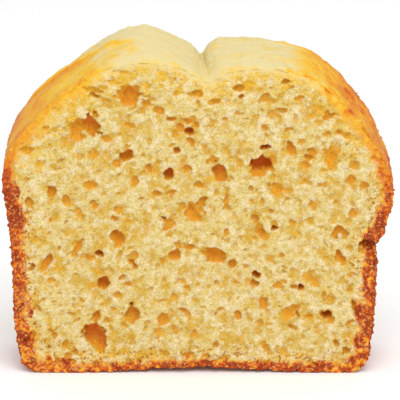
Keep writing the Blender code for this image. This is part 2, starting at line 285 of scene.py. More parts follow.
def soften(ring, reach):
    """A closed ring of points, blurred over this many neighbours."""
    spread = np.arange(-3 * reach, 3 * reach + 1)
    weights = np.exp(-0.5 * (spread / reach) ** 2)
    weights /= weights.sum()
    return sum(w * np.roll(ring, -s, axis=0) for s, w in zip(spread, weights, strict=True))


def outline(solid, y):
    """The solid's outline at a depth: four sides of even steps, anticlockwise from the bottom left corner."""
    bm = solid.copy()
    bmesh.ops.bisect_plane(
        bm, geom=bm.verts[:] + bm.edges[:] + bm.faces[:], plane_co=(0, y * MM, 0), plane_no=(0, 1, 0),
        clear_inner=True, clear_outer=True,
    )
    loop = longest_loop(bm)
    bm.free()
    x, z = loop[:, 0], loop[:, 1]
    if np.sum(x * np.roll(z, -1) - np.roll(x, -1) * z) < 0:
        loop = loop[::-1]
    loop = soften(walk(np.vstack([loop, loop[:1]]), LOOP_STEPS), 3)
    starts = [int(np.argmin(np.linalg.norm(loop - corner, axis=1))) for corner in CORNERS]
    loop = np.roll(loop, -starts[0], axis=0)
    stops = [(s - starts[0]) % len(loop) for s in starts] + [len(loop)]
    loop = np.vstack([loop, loop[:1]])
    sides = [
        walk(loop[a : b + 1], steps)
        for a, b, steps in zip(stops, stops[1:], (ACROSS, UP, ACROSS, UP), strict=False)
    ]
    return np.vstack(sides)


def outlines():
    """The outline at every row of the crust, rows from front to back: x and z in mm."""
    solid = bmesh.new()
    solid.from_mesh(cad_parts[NODE].data)
    bmesh.ops.remove_doubles(solid, verts=solid.verts, dist=1e-6)
    depths = np.linspace(-HALF + CUT_INSET, HALF - CUT_INSET, CUTS)
    cuts = np.stack([outline(solid, y) for y in depths])
    solid.free()
    rows = np.linspace(-HALF, HALF, DEEP + 1)
    slot = np.clip((rows - depths[0]) / (depths[1] - depths[0]), 0, CUTS - 1.001)
    low = slot.astype(int)
    share = (slot - low)[:, None, None]
    filled = cuts[low] * (1 - share) + cuts[low + 1] * share
    for _ in range(ROW_PASSES):
        filled[1:-1] = (filled[:-2] + 2 * filled[1:-1] + filled[2:]) / 4
    return rows, filled


# The shape of the crust


def ledge_depth(x):
    """Where the ledge of golden crust runs over the left lobe: y in mm at each x."""
    return np.interp(x, (-44, -38, -33, -27, -20, -15, -11), (8.5, 7.2, 6.0, 4.2, 1.6, -0.6, -2.2))


def ledge_line(x, y, z, grain):
    """1 along the ledge of the left lobe, where the crust caught."""
    line = ledge_depth(x) + 0.8 * grain(x, 0, z, 3.0)
    return np.exp(-(((y - line) / 0.8) ** 2)) * rise(x, -9, -15) * rise(z, 60, 66)


def behind_ledge(x, y, z, grain):
    """1 on the golden crust behind the ledge of the left lobe, 0 in front of it."""
    line = ledge_depth(x) + 0.8 * grain(x, 0, z, 3.0)
    return rise(y - line, -0.3, 0.5) * rise(x, -10, -16) * rise(z, 66, 70)


def wall_share(x, z):
    """1 on the walls and the base, which the tin baked, and 0 on the crown and the shoulders."""
    right = rise(x, -10, 10)
    return np.maximum(rise(z, 65 - 2 * right, 46 - 4 * right) * rise(np.abs(x), 36, 43), rise(z, 7, 2.5))


def craggy_share(x, z):
    """How craggy the crust is: fully on the walls and the base, partly on the torn right shoulder."""
    torn = rise(x, 25, 34) * rise(z, 86, 79) * rise(z, 52, 58)
    return np.maximum(wall_share(x, z) * np.maximum(rise(z, 62, 48), rise(x, -10, 10)), 0.2 * torn)


def low_corner(x, z):
    """1 in the two lower corners of a cut face, which are baked from two sides."""
    return rise(np.abs(x), 25, 36) * rise(z, 17, 7)


def caught(x, z):
    """How caught the rim of the front face is, 0 to 1."""
    total = 0.0
    for cx, cz, width, height in CAUGHT:
        total = total + np.exp(-(((x - cx) * 2 / width) ** 2) - ((z - cz) * 2 / height) ** 2)
    return np.clip(total, 0, 1)


def browning(x, y, z, grain):
    """How browned the crust is, from 0 on the pale crown to 1 on the darkest wall."""
    spread = np.abs(x + 1) + 4 * grain(x, y, z + 30, 6.0) + 2 * grain(x, y, z + 60, 2.5)
    shoulder = rise(spread - 4 * rise(x, -10, 10), 10, 34)
    right = rise(x, 26, 34) * rise(z, 58, 70)
    level = 0.07 + 0.33 * shoulder + 0.13 * right - 0.18 * behind_ledge(x, y, z, grain)
    top_of_wall = (0.14 - 0.1 * right) * rise(np.abs(x), 34, 43)
    level += (0.04 + 0.09 * right) * rise(y, -7, 6) * shoulder + top_of_wall
    level += (0.88 - level) * wall_share(x, z) + 0.12 * rise(z, 1.2, 0.2)
    level += 0.06 * grain(x, y, z, 8.0) * (0.6 + shoulder) + 0.06 * grain(x, y, z, 2.6)
    return np.clip(level, 0, 1)


def crack(x, y):
    """The split between the lobes: a sharp groove with swollen lips, mm."""
    across = x - (1.6 - 0.1 * y)
    return (0.5 * np.exp(-((across / 2.8) ** 2)) - 1.3 * np.exp(-np.abs(across) / 0.6)) * rise(y, -9, 3)


def cut_fringe(x, y, z, grain):
    """A ragged golden fringe along the cut edge of the crown, as a change in how browned it looks."""
    reach = 1.1 + 0.9 * grain(x, 0, z, 2.2) + 0.6 * grain(x, 5, z, 0.9)
    return 0.12 * rise(y + HALF, reach + 1.2, reach - 0.6) * rise(np.abs(x), 30, 18) * rise(z, 64, 72)


def crust_points(settings):
    """The crust's surface: points by row and by place round the outline, and how far each stands out."""
    rows, ring = outlines()
    x, z = ring[..., 0], ring[..., 1]
    y = np.broadcast_to(rows[:, None], x.shape)
    along = np.roll(ring, -2, axis=1) - np.roll(ring, 2, axis=1)
    along /= np.linalg.norm(along, axis=2, keepdims=True)
    out = np.stack([along[..., 1], -along[..., 0]], axis=2)
    grain = Grain(BAKE_SEED)
    crag = settings.crag / MM
    crown = rise(z, 66, 78) * rise(np.abs(x), 42, 30)
    rough = crag * (0.22 + 0.78 * craggy_share(x, z))
    relief = rough * (0.7 * grain(x, y, z, 2.6) + 0.75 * grain(x, y, z, 1.2) + 0.55 * grain(x, y, z, 0.62))
    relief -= 2.2 * rough * rise(grain(x + 40, y, z, 1.7), 0.34, 0.7)
    relief += 0.9 * rough * rise(grain(x, y + 40, z, 0.95), 0.3, 0.75)
    relief -= 1.1 * caught(x, z) * np.exp(-(y + HALF) / 2)
    soft = 1 - wall_share(x, z)
    relief += soft * 0.14 * (1 - np.abs(grain(x / 2.6, y, z / 2.6, 1.5)) * 2)
    relief += soft * (0.26 * grain(x, y, z, 5.0) + 0.12 * grain(x, y, z, 2.0))
    relief += 0.45 * behind_ledge(x, y, z, grain)
    high = rise(z, 60, 66)
    relief += high * crack(x, y)
    relief += rise(z, 58, 68) * rise(np.abs(x), 30, 36) * rise(y, -7, 4)
    for fx, fy, width, height in FLAKES:
        relief += high * height * np.exp(-((x - fx) ** 2 + (y - fy) ** 2) / width**2)
    edge = np.minimum(y + HALF, HALF - y)
    relief -= ROUND_EDGE * (0.3 + 0.7 * crown * (y < 0)) * np.exp(-((edge / 1.1) ** 1.4))
    face_relief = 0.32 * grain(x, y, z, 1.6) + 0.24 * grain(x, y, z, 0.7)
    near_face = np.exp(-edge / 0.5)
    y = y - np.sign(y) * near_face * (0.22 + 0.5 * crown + face_relief) * rise(z, 0.0, 1.0)
    placed = np.stack([x + out[..., 0] * relief, y, z + out[..., 1] * relief], axis=2)
    placed[..., 2] = np.maximum(placed[..., 2], 0.0)
    return placed, relief


# The bubbles of the cut faces


def raster():
    """The places of a bubble map's samples, x along its columns and z up its rows."""
    left, bottom, right, top = RASTER_BOX
    return np.meshgrid(np.arange(left, right, RASTER), np.arange(bottom, top, RASTER))


def press(depths, across, up, tear, bubble):
    """Presses one bubble into a map where it is deeper than what is there. Its lower wall is gentler."""
    x, z, width, height, depth, lean = bubble
    reach = max(width, height) * 0.8 + 0.6
    left, bottom = RASTER_BOX[:2]
    columns = slice(max(int((x - reach - left) / RASTER), 0), max(int((x + reach - left) / RASTER), 0))
    lines = slice(max(int((z - reach - bottom) / RASTER), 0), max(int((z + reach - bottom) / RASTER), 0))
    dx, dz = across[lines, columns] - x, up[lines, columns] - z
    turn = math.radians(lean)
    u = (dx * math.cos(turn) - dz * math.sin(turn)) / (width / 2)
    v = (dx * math.sin(turn) + dz * math.cos(turn)) / (height / 2)
    half = min(width, height) / 2
    distance = np.sqrt(u * u + v * v) + tear[lines, columns] * (0.19 + 0.2 / (half + 0.5))
    upper = np.clip(dz / (max(width, height) / 2), -1, 1)
    steep = min(max(0.6 * depth / half - 0.25, 0.0), 0.8)
    slope = min(0.5, 0.3 / half) * (1 + 1.1 * rise(-upper, -0.1, 0.9))
    wall = rise(distance, 1.12, 1.12 - slope)
    floor = depth * (steep + (1 - steep) * np.clip(1 - distance**2, 0, 1)) * (1 + 0.25 * upper)
    np.maximum(depths[lines, columns], wall * floor, out=depths[lines, columns])


def dense_band(x, z, rim):
    """1 in the dense golden crumb under the crown and the shoulders, 0 in the open crumb."""
    width = 1.9 + 5.0 * rise(x, -17, -34) + 2.0 * rise(x, 24, 38)
    return rise(rim, width, 0.35 * width) * rise(z, 58, 67)


def gilding(x, z, rim, grain):
    """1 in the golden crumb close under the crown and the shoulders, less by the walls, 0 further in."""
    reach = 9.0 + 6.0 * rise(x, -15, -32)
    return rise(rim + 2.0 * grain(x, 0, z, 3.5), reach, 1.0) * (0.55 + 0.45 * rise(z, 42, 62))


def scattered(count, seed, rim_at):
    """Small bubbles, most of them tiny. They rise and lean outwards, and lie flat under the crown."""
    draw = np.random.default_rng(seed)
    bubbles = []
    for _ in range(count):
        x, z = draw.uniform(-50, 50), draw.uniform(0, 86)
        radius = min(0.32 + draw.exponential(0.27), 1.4)
        stretch = draw.uniform(0.75, 1.6)
        sunk = draw.uniform(-0.8, 0.6)
        lean = draw.uniform(-40, 40) - 0.8 * x
        keep = draw.uniform()
        rim = rim_at(x, z)
        if rim < 0.5 + radius * 0.4 or keep < 0.85 * dense_band(x, z, rim):
            continue
        if z > 62 and rim < 16:
            stretch = 1 / stretch
            lean = draw.uniform(-25, 25) - 0.9 * x
        mouth = radius * math.sqrt(1 - sunk * sunk)
        depth = radius * (1 + sunk) * SMALL_DEPTH
        bubbles.append((x, z, 2 * mouth / stretch, 2 * mouth * stretch, depth, lean))
    return bubbles


def bubble_map(bubbles, seed, frothy):
    """How deep the bubbles reach at each sample of a raster, mm, with froth between them or not."""
    across, up = raster()
    grain = Grain(seed)

    def shift(coarse, middling, fine):
        swell = 0.34 * grain(across, coarse, up, 2.9)
        return swell + 0.32 * grain(across, middling, up, 1.1) + 0.2 * grain(across, fine, up, 0.5)

    tear = grain(across, 40, up, 1.3) + 0.75 * grain(across, 47, up, 0.6)
    depths = froth(across, up, grain) if frothy else np.zeros(across.shape)
    across, up = across + shift(0, 5, 9), up + shift(14, 19, 23)
    for bubble in bubbles:
        press(depths, across, up, tear, bubble)
    soft = depths.copy()
    for axis in (0, 1):
        soft = (np.roll(soft, 1, axis) + 2 * soft + np.roll(soft, -1, axis)) / 4
    return soft


def froth(x, z, grain):
    """Shallow hollows that run into one another between the bubbles, mm."""
    folds = 0.7 * grain(x, 70, z * 0.8, 4.5) + grain(x, 50, z * 0.8, 2.3) + 0.5 * grain(x, 55, z, 1.1)
    return 0.64 * rise(folds + 0.3 * grain(x, 60, z, 0.55), 0.0, 1.0)


def sample(values, x, z):
    """A raster's value between its samples."""
    left, bottom = RASTER_BOX[:2]
    column, line = (x - left) / RASTER, (z - bottom) / RASTER
    c, r = column.astype(int), line.astype(int)
    fc, fr = column - c, line - r
    near = values[r, c] * (1 - fc) + values[r, c + 1] * fc
    far = values[r + 1, c] * (1 - fc) + values[r + 1, c + 1] * fc
    return near * (1 - fr) + far * fr


def edge_of(values, x, z):
    """How steeply a bubble's edge falls: up to 1 under its overhang, down to -1 on its lower lip."""
    return np.clip((sample(values, x, z - 0.2) - sample(values, x, z + 0.2)) / 1.1, -1, 1)


def tree_of(loop):
    tree = KDTree(len(loop))
    for i, point in enumerate(loop):
        tree.insert((point[0], 0.0, point[2]), i)
    tree.balance()
    return tree


def solid_depths(x, z, side):
    """How deep the solid's own bubbles reach below a cut face, mm, by looking straight into it."""
    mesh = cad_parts[NODE].data
    tree = BVHTree.FromPolygons(
        [v.co.copy() for v in mesh.vertices], [tuple(p.vertices) for p in mesh.polygons], epsilon=0.0
    )
    ahead = Vector((0, -side, 0))
    depths = np.zeros(x.shape)
    for i, (px, pz) in enumerate(zip(x.ravel(), z.ravel(), strict=True)):
        hit = tree.ray_cast(Vector((px * MM, side * 2 * HALF * MM, pz * MM)), ahead)[0]
        if hit is not None:
            depths.flat[i] = max(HALF - side * hit.y / MM, 0.0)
    return np.minimum(depths, DEEPEST)


# Building the meshes


def deselect():
    for obj in bpy.context.selected_objects:
        obj.select_set(False)


def grid(name, columns, lines):
    """A fresh grid as the active object, and the column and line that each of its points is in."""
    deselect()
    bpy.ops.mesh.primitive_grid_add(x_subdivisions=columns, y_subdivisions=lines, size=2.0, calc_uvs=True)
    obj = bpy.context.object
    obj.name = name
    obj.data.name = name
    places = np.empty(len(obj.data.vertices) * 3)
    obj.data.vertices.foreach_get("co", places)
    places = places.reshape(-1, 3)
    column = np.rint((places[:, 0] + 1) / 2 * columns).astype(int)
    line = np.rint((places[:, 1] + 1) / 2 * lines).astype(int)
    obj.data.uv_layers[0].name = "OFBake"
    return obj, column, line


def put(obj, points):
    """Moves an object's points, given in mm."""
    obj.data.vertices.foreach_set("co", (points * MM).astype(np.float32).ravel())
    obj.data.update()


def keep_on(obj, name, values):
    """Keeps a number for each point of the surface, for the finish to read."""
    obj.data.attributes.new(name, "FLOAT", "POINT").data.foreach_set("value", values.astype(np.float32))


def select_open_edges():
    bpy.ops.mesh.select_mode(type="EDGE")
    bpy.ops.mesh.select_all(action="DESELECT")
    bpy.ops.mesh.select_non_manifold(
        extend=False, use_wire=False, use_boundary=True, use_multi_face=False, use_non_contiguous=False,
        use_verts=False,
    )


def close_inside(scale, bridge):
    """Closes a sheet on its hidden side: its open edge turns inwards, and is then filled or bridged."""
    bpy.ops.object.mode_set(mode="EDIT")
    select_open_edges()
    bpy.ops.mesh.mark_sharp()
    bpy.ops.mesh.extrude_edges_move()
    bpy.ops.transform.resize(value=scale, center_override=(MIDDLE[0] * MM, 0.0, MIDDLE[1] * MM))
    if bridge:
        bpy.ops.mesh.bridge_edge_loops()
    else:
        bpy.ops.mesh.edge_face_add()
    bpy.ops.mesh.select_all(action="SELECT")
    bpy.ops.mesh.normals_make_consistent(inside=False)
    bpy.ops.object.mode_set(mode="OBJECT")
    bpy.ops.object.shade_smooth()


def inside_of(loop):
    """A grid of points that fills a closed outline, from its four sides."""
    n = ACROSS + UP
    low = loop[: ACROSS + 1]
    right = loop[ACROSS : n + 1]
    high = loop[n : n + ACROSS + 1][::-1]
    left = np.vstack([loop[n + ACROSS :], loop[:1]])[::-1]
    s = np.linspace(0, 1, ACROSS + 1)[None, :, None]
    t = np.linspace(0, 1, UP + 1)[:, None, None]
    filled = (
        (1 - t) * low[None] + t * high[None] + (1 - s) * left[:, None] + s * right[:, None]
        - (1 - s) * (1 - t) * low[0] - s * (1 - t) * low[-1] - (1 - s) * t * high[0] - s * t * high[-1]
    )
    for _ in range(FILL_PASSES):
        filled[1:-1, 1:-1] = (
            filled[:-2, 1:-1] + filled[2:, 1:-1] + filled[1:-1, :-2] + filled[1:-1, 2:]
        ) / 4
    return filled


def crumb_relief(x, z, rim, depths, grain):
    """How deep the cut face is at each point, bubbles and grain together, mm."""
    fine = 0.14 * grain(x, 3, z, 1.7) + 0.14 * grain(x, 8, z, 0.9) + 0.08 * grain(x, 12, z, 0.5)
    deep = depths * (0.48 + 0.42 * rise(depths, 0.8, 3.0))
    return np.minimum(deep + (0.12 + fine) * (1 - 0.6 * dense_band(x, z, rim)), 0.1 + 2.5 * rim)


def build_crumb(name, loop, side, settings):
    """One cut face. Its edge is the crust's own edge, and its bubbles go into the slice."""
    obj, column, line = grid(name, ACROSS, UP)
    filled = inside_of(loop)
    x, z = filled[..., 0], filled[..., 2]
    tree = tree_of(loop)
    nearest = [tree.find((a, 0.0, b)) for a, b in zip(x.ravel(), z.ravel(), strict=True)]
    rim = np.array([found[2] for found in nearest]).reshape(x.shape)
    rolled = HALF - np.abs(loop[[found[1] for found in nearest], 1]).reshape(x.shape)
    seed = FRONT_SEED if side < 0 else BACK_SEED
    bubbles = scattered(
        settings.pores, seed, lambda a, b: tree.find((a, 0.0, b))[2] if inside(loop, a, b) else -1.0
    )
    grain = Grain(seed + 3)
    small = bubble_map(bubbles, seed, True)
    depths = sample(small, x, z)
    # How a bubble's edge falls sets painted shade under its overhang and a painted highlight on its lower lip
    edges = edge_of(small, x, z)
    dense = dense_band(x, z, rim)
    depths = depths * (1 - 0.8 * dense * rise(depths, 1.6, 0.8))
    if side < 0:
        large = bubble_map(FRONT_BUBBLES, seed + 1, False)
        large_depths = sample(large, x, z)
        # The depth that sets the painted shade in the bubbles; large front bubbles are painted as if a little
        # deeper than they are
        shaded_depths = np.maximum(depths, 1.15 * large_depths)
        depths = np.maximum(depths, large_depths)
        edges = np.where(large_depths > 0.1, edge_of(large, x, z), edges)
    else:
        wobble_x = x + 0.35 * grain(x, 30, z, 2.4) + 0.2 * grain(x, 33, z, 0.9)
        wobble_z = z + 0.35 * grain(x, 40, z, 2.4) + 0.2 * grain(x, 43, z, 0.9)
        depths = np.maximum(depths, solid_depths(wobble_x, wobble_z, side))
        shaded_depths = depths
    relief = crumb_relief(x, z, rim, depths, grain) + (rolled - 0.1) * np.exp(-(rim**2))
    filled[1:-1, 1:-1, 1] = side * (HALF - relief[1:-1, 1:-1])
    put(obj, filled[line, column])
    spots = caught(x, z) if side < 0 else np.zeros(x.shape)
    corners = low_corner(x, z)
    thin = (1 + 0.3 * rise(z, 9, 3) * rise(np.abs(x), 45, 36)) * (1 - 0.3 * corners)
    kept = {
        "pit": shaded_depths,
        "edges": edges,
        "rim": rim * thin - 4 * spots,
        "dense": dense,
        "gilded": gilding(x, z, rim, grain),
        "craggy": np.maximum(craggy_share(x, z), 0.8 * np.maximum(corners, rise(z, 13, 6))),
        "browned": browning(x, side * HALF, z, Grain(BAKE_SEED)) + 0.3 * spots - 0.14 * corners,
    }
    for label, values in kept.items():
        keep_on(obj, label, values[line, column])
    close_inside(FACE_TUCK, bridge=False)
    return obj


def inside(loop, x, z):
    """Whether a point of the cut face is inside the outline."""
    px, pz = loop[:, 0], loop[:, 2]
    qx, qz = np.roll(px, -1), np.roll(pz, -1)
    crosses = (pz > z) != (qz > z)
    return bool(np.sum(crosses & (x < px + (z - pz) / np.where(crosses, qz - pz, 1.0) * (qx - px))) % 2)


def build_crust(points, relief):
    """The baked skin: a strip from one cut face to the other, closed on its hidden side."""
    around = points.shape[1]
    obj, column, line = grid("crust", around, DEEP)
    wrapped = column % around
    placed = points[line, wrapped]
    put(obj, placed)
    x, y, z = placed.T
    grain = Grain(BAKE_SEED)
    browned = browning(x, y, z, grain) + 0.3 * caught(x, z) * np.exp(-(y + HALF) / 2)
    browned += 0.07 * ledge_line(x, y, z, grain) + cut_fringe(x, y, z, Grain(FRINGE_SEED))
    keep_on(obj, "relief", relief[line, wrapped])
    keep_on(obj, "browned", browned)
    torn_edge = rise(y, -5.5, -9) * (0.2 * rise(x, -16, -30) + 0.55 * rise(x, 16, 28))
    keep_on(obj, "craggy", np.maximum(craggy_share(x, z), torn_edge))
    fold_texture(obj)
    bpy.ops.object.mode_set(mode="EDIT")
    bpy.ops.mesh.select_all(action="SELECT")
    bpy.ops.mesh.remove_doubles(threshold=1e-7)
    bpy.ops.object.mode_set(mode="OBJECT")
    close_inside(CRUST_TUCK, bridge=True)
    return obj


def fold_texture(obj):
    """Folds the long strip's texture coordinates into rows, so that they fill a square."""
    layer = obj.data.uv_layers["OFBake"].data
    uv = np.empty(len(layer) * 2)
    layer.foreach_get("uv", uv)
    uv = uv.reshape(-1, 4, 2)
    row = np.minimum((uv[..., 0].mean(axis=1) * TEXTURE_ROWS).astype(int), TEXTURE_ROWS - 1)
    uv[..., 0] = uv[..., 0] * TEXTURE_ROWS - row[:, None]
    uv[..., 1] = (uv[..., 1] * 0.95 + row[:, None] + 0.02) / TEXTURE_ROWS
    layer.foreach_set("uv", uv.ravel())


def crumb_pebble():
    """One loose crumb, a few dozen faces, as its points and its triangles."""
    deselect()
    bpy.ops.mesh.primitive_ico_sphere_add(subdivisions=2, radius=1.0)
    pebble = bpy.context.object
    points = np.array([v.co for v in pebble.data.vertices])
    faces = np.array([p.vertices[:] for p in pebble.data.polygons])
    bpy.data.objects.remove(pebble, do_unlink=True)
    return points, faces


def build_loose_crumbs(points, count):
    """Crumbs that cling to the crust, nearly all of them to its walls."""
    draw = np.random.default_rng(BIT_SEED)
    grain, bake = Grain(BIT_SHAPE_SEED), Grain(BAKE_SEED)
    shape, faces = crumb_pebble()
    all_points, all_faces, browned = [], [], []
    around = points.shape[1]
    while len(all_points) < count:
        row = int(np.clip(draw.choice([0, draw.integers(0, DEEP), DEEP]), 0, DEEP))
        place = int(draw.integers(0, around))
        x, y, z = points[row, place]
        on_wall = abs(x) > 41 and z < 62
        size = draw.uniform(0.14, 0.36)
        if z < 0.6 or (not on_wall and draw.uniform() > 0.05):
            continue
        bumps = grain(shape[:, 0] + len(all_points), shape[:, 1], shape[:, 2], 0.9)
        bumpy = shape * (1 + 0.45 * bumps)[:, None]
        middle = np.array([x * (1 + 0.1 * size / 50), y, max(z, size)])
        all_faces.append(faces + len(all_points) * len(shape))
        all_points.append(middle + bumpy * size * draw.uniform(0.7, 1.25, 3))
        browned.append(np.full(len(shape), browning(x, y, z, bake) + draw.uniform(-0.2, 0.1)))
    mesh = bpy.data.meshes.new("loose_crumbs")
    mesh.from_pydata((np.vstack(all_points) * MM).tolist(), [], np.vstack(all_faces).tolist())
    obj = bpy.data.objects.new("loose_crumbs", mesh)
    bpy.context.scene.collection.objects.link(obj)
    keep_on(obj, "browned", np.concatenate(browned))
    keep_on(obj, "relief", np.zeros(len(mesh.vertices)))
    keep_on(obj, "craggy", np.ones(len(mesh.vertices)))
    mesh.shade_smooth()
    return obj


# Finishes


class Value:
    """A number that varies over a surface, which arithmetic can be written on."""

    def __init__(self, finish, socket):
        self.finish = finish
        self.socket = socket

    def maths(self, operation, first, second):
        return self.finish.node("ShaderNodeMath", {"operation": operation}, {0: first, 1: second})

    def __add__(self, other):
        return self.maths("ADD", self, other)

    def __mul__(self, other):
        return self.maths("MULTIPLY", self, other)

    def __sub__(self, other):
        return self.maths("SUBTRACT", self, other)

    def __rsub__(self, other):
        return self.maths("SUBTRACT", other, self)

    __radd__ = __add__

    def rise(self, low, high):
        """0 at low, 1 at high, smooth between them."""
        return self.finish.node(
            "ShaderNodeMapRange", {"interpolation_type": "SMOOTHSTEP"},
            {"Value": self, "From Min": low, "From Max": high, "To Min": 0.0, "To Max": 1.0},
        )


class Finish:
    """A material under construction."""

    def __init__(self, name):
        self.material = bpy.data.materials.new(name)
        self.material.use_nodes = True
        self.tree = self.material.node_tree
        self.shader = self.tree.nodes["Principled BSDF"]
        self.place = self.node("ShaderNodeTexCoord", {}, {}, "Object")

    def feed(self, socket, value):
        if isinstance(value, Value):
            self.tree.links.new(value.socket, socket)
        else:
            socket.default_value = value

    def node(self, kind, settings, sockets, output=0):
        """Adds a node of a type: first its settings, then its sockets' values or links."""
        made = self.tree.nodes.new(kind)
        for name, value in settings.items():
            if name == "stops":
                self.set_stops(made.color_ramp, value)
            else:
                setattr(made, name, value)
        for name, value in sockets.items():
            self.feed(made.inputs[name], value)
        return Value(self, made.outputs[output])

    def set_stops(self, ramp, stops):
        while len(ramp.elements) < len(stops):
            ramp.elements.new(0.5)
        for element, (position, tint) in zip(ramp.elements, stops, strict=True):
            element.position = position
            element.color = (*tint, 1.0)

    def kept(self, name):
        """A number kept on the surface."""
        return self.node("ShaderNodeAttribute", {"attribute_name": name}, {}, "Fac")

    def noise(self, size, detail=2.0):
        """Noise from 0 to 1 over about this size in millimetres."""
        sockets = {"Vector": self.place, "Scale": 1 / (size * MM), "Detail": detail}
        return self.node("ShaderNodeTexNoise", {}, sockets, "Fac")

    def grains(self, size):
        """A number from 0 to 1 that differs from grain to grain, of about this size in millimetres."""
        sockets = {"Vector": self.place, "Scale": 1 / (size * MM)}
        cells = self.node("ShaderNodeTexVoronoi", {"feature": "F1"}, sockets, "Color")
        return self.node("ShaderNodeSeparateColor", {}, {"Color": cells}, "Red")

    def mix(self, first, second, share, blend="MIX"):
        """One colour over another, or multiplied into it."""
        return self.node(
            "ShaderNodeMix", {"data_type": "RGBA", "blend_type": blend},
            {"Factor": share, COLOUR_A: self.opaque(first), COLOUR_B: self.opaque(second)}, COLOUR_OUT,
        )

    def opaque(self, tint):
        return tint if isinstance(tint, Value) else (*tint, 1.0)

    def ramp(self, share, stops):
        return self.node("ShaderNodeValToRGB", {"stops": stops}, {"Fac": share}, "Color")

    def bump(self, height, distance):
        """Fine relief that is only shaded: a height from 0 to 1, and what 1 stands for in millimetres."""
        sockets = {"Height": height, "Distance": distance * MM, "Strength": 1.0}
        return self.node("ShaderNodeBump", {}, sockets, "Normal")

    def set(self, name, value):
        self.feed(self.shader.inputs[name], value)


def crust_colour(finish, browned, settings):
    """The crust's colour for how browned it is, from pale crown to caught spots."""
    stops = (
        (0.0, settings.pale), (0.09, settings.pale), (0.34, settings.golden), (0.55, settings.toasted),
        (0.78, settings.brown), (1.0, settings.dark),
    )
    return finish.ramp(browned, stops)


def crumb_finish(name, settings, crust_settings):
    """Cream crumb with painted shade that turns it ochre and amber down in its bubbles, painted highlights
    and shade on its grain, and browned towards the crust.
    """
    finish = Finish(name)
    names = ("pit", "edges", "rim", "browned", "dense", "gilded", "craggy")
    pit, edges, rim, browned, dense, gilded, craggy = (finish.kept(kept) for kept in names)
    patches, mottle, tufts = finish.noise(3.4), finish.noise(1.4, 3.0), finish.noise(1.7, 4.0)
    speck, glint_spots, grain_cells = finish.noise(0.55, 2.0), finish.noise(0.75, 3.0), finish.grains(0.3)
    coarse, middling, fine = patches - 0.5, mottle - 0.5, speck - 0.5

    # Painted shade and a warm glow of light: crumb turns ochre, amber and ember deeper down in its bubbles,
    # over random straw patches, and painted shade browns the overhang of a bubble
    depth = pit * (fine * 2.4 + 1) + middling * 1.1 + fine * 0.2 + coarse * 1.1
    body = finish.mix(settings.cream, settings.straw, depth.rise(-0.05, 0.22))
    body = finish.mix(body, settings.ochre, depth.rise(0.1, 0.65))
    body = finish.mix(body, settings.amber, depth.rise(0.6, 1.7))
    body = finish.mix(body, settings.ember, depth.rise(2.8, 4.6))
    body = finish.mix(body, settings.brow, edges.rise(0.2, 1.0) * (speck.rise(0.35, 0.6) * 0.5 + 0.35))

    # Golden crumb towards the crust, and a dense band close under the crown
    gold = (gilded + coarse * 2 + middling * 3.5).rise(0.1, 1.3) * gilded.rise(0.0, 0.2)
    body = finish.mix(body, crust_settings.golden, gold * 0.75)
    band = crust_colour(finish, browned * 0.4 + 0.22 + middling * 0.6, crust_settings)
    body = finish.mix(body, band, (dense * 1.5 + coarse * 2.5 + middling * 3).rise(0.1, 1.2) * 0.7)

    # Painted highlights on tufts, lower lips and grains, and painted shade in dark specks between them
    open_grain = depth.rise(1.3, 0.4) * (1 - dense * 0.4)
    tufted = (tufts + coarse * -0.35).rise(0.47, 0.62) * 0.72
    high = (grain_cells.rise(0.6, 1.0) * 0.22 + tufted + speck.rise(0.52, 0.7) * 0.25) * open_grain
    lips = edges.rise(-0.15, -0.8) * depth.rise(1.3, 0.5) * 0.55
    low = speck.rise(0.49, 0.32) * 0.5 * (open_grain * 0.6 + 0.4)
    body = finish.mix(body, settings.bright, high)
    body = finish.mix(body, settings.bright, lips)
    body = finish.mix(body, settings.shade, low, "MULTIPLY")
    body = finish.mix(body, DIM_SHADE, grain_cells.rise(0.5, 0.0) * 0.5, "MULTIPLY")

    # Dark veins and scorched specks where the crust is craggy
    veins = tufts.rise(0.47, 0.5) * tufts.rise(0.53, 0.5) * mottle.rise(0.48, 0.56) * rim.rise(9.0, 4.0)
    scorched = finish.noise(0.9, 1.0).rise(0.6, 0.66) * (7.5 - rim + coarse * 8).rise(0.0, 3.0)
    body = finish.mix(body, crust_settings.dark, veins * craggy * 0.85)
    body = finish.mix(body, crust_settings.dark, scorched * craggy * 0.8)

    # The crust's own colour, which reaches in from the rim with a ragged edge
    uneven = middling * 1.4 + coarse * 1.1 + fine * 0.5
    level = browned + middling * 0.5 + uneven * craggy - rim.rise(1.2, 4.5) * 0.32
    # Painted highlight: glints of light on the craggy crust
    glint = (grain_cells.rise(0.8, 1.0) * 0.2 + glint_spots.rise(0.54, 0.66) * 0.6) * craggy
    crust = finish.mix(crust_colour(finish, level, crust_settings), crust_settings.glint, glint)
    width = browned * (patches * 4.2 + 1.3) + 0.1
    edge = rim + (middling * 4.0 + fine * 5.0) * (craggy * 0.8 + 0.2)
    finish.set("Base Color", finish.mix(body, crust, (width - edge).rise(-1.2, 1.2)))
    finish.set("Roughness", 0.75)
    finish.set("Specular IOR Level", 0.2)
    finish.set("Normal", finish.bump(speck * 0.5 + tufts * 0.5 + grain_cells * 0.1, settings.grain / MM))
    return finish.material


